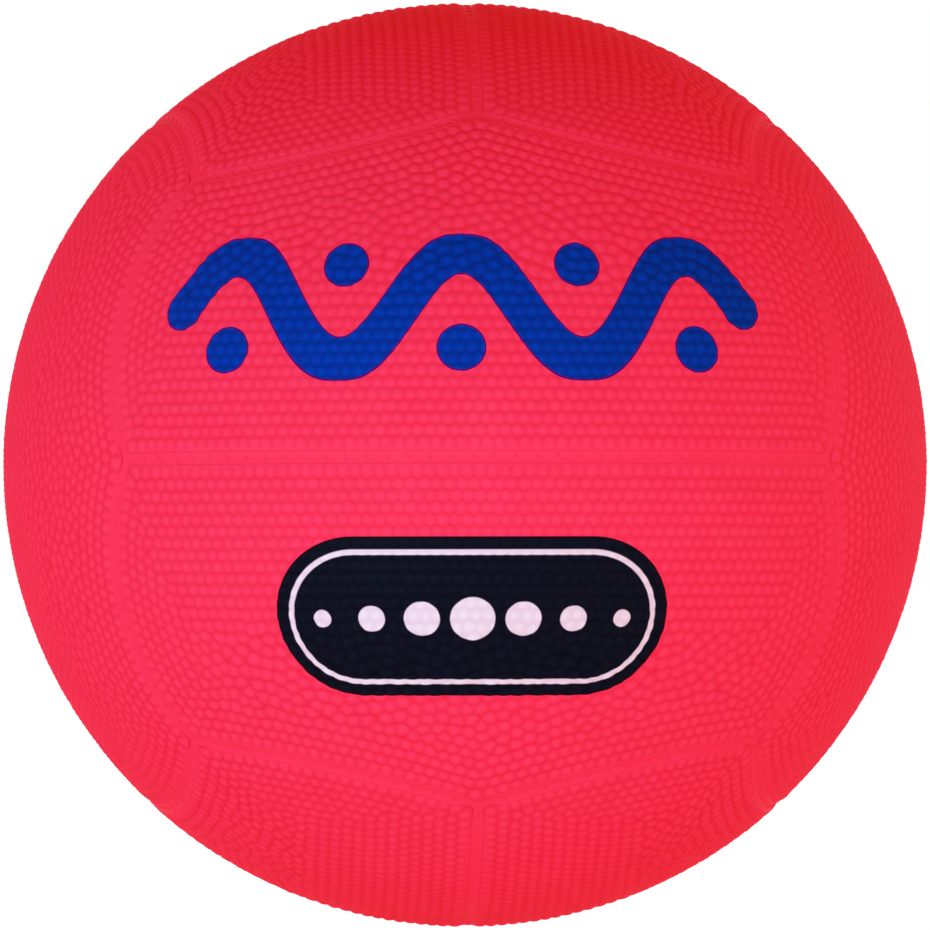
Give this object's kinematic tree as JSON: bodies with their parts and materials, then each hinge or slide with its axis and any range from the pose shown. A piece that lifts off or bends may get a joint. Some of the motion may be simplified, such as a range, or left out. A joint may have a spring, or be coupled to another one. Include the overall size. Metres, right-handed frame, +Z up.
{
  "type": "dodgeball",
  "caption": "Inflated rubber playground ball with a pebbled panelled cover, recessed seam channels and a self-sealing needle valve.",
  "frame": {"origin": "centre of the ball", "axes": "+Z up through the middle of the top seam, -Y to the front, +X to the right seen from the front; the valve is at the back, 30 degrees above the middle"},
  "size_m": [0.191, 0.191, 0.191],
  "materials": {
    "cover_rubber": "satin",
    "seam_rubber": "satin",
    "winding_nylon": "matte",
    "bladder_rubber": "matte",
    "valve_rubber": "satin",
    "plug_rubber": "matte"
  },
  "bodies": {
    "root": {"front_upper_panel": "cover_rubber", "front_lower_panel": "cover_rubber", "back_upper_panel": "cover_rubber", "back_lower_panel": "cover_rubber", "top_left_panel": "cover_rubber", "top_right_panel": "cover_rubber", "bottom_left_panel": "cover_rubber", "bottom_right_panel": "cover_rubber", "left_front_panel": "cover_rubber", "left_back_panel": "cover_rubber", "right_front_panel": "cover_rubber", "right_back_panel": "cover_rubber", "base_cover": "seam_rubber", "thread_winding": "winding_nylon", "bladder": "bladder_rubber", "valve_body": "valve_rubber", "valve_plug": "plug_rubber"}
  },
  "joints": []
}
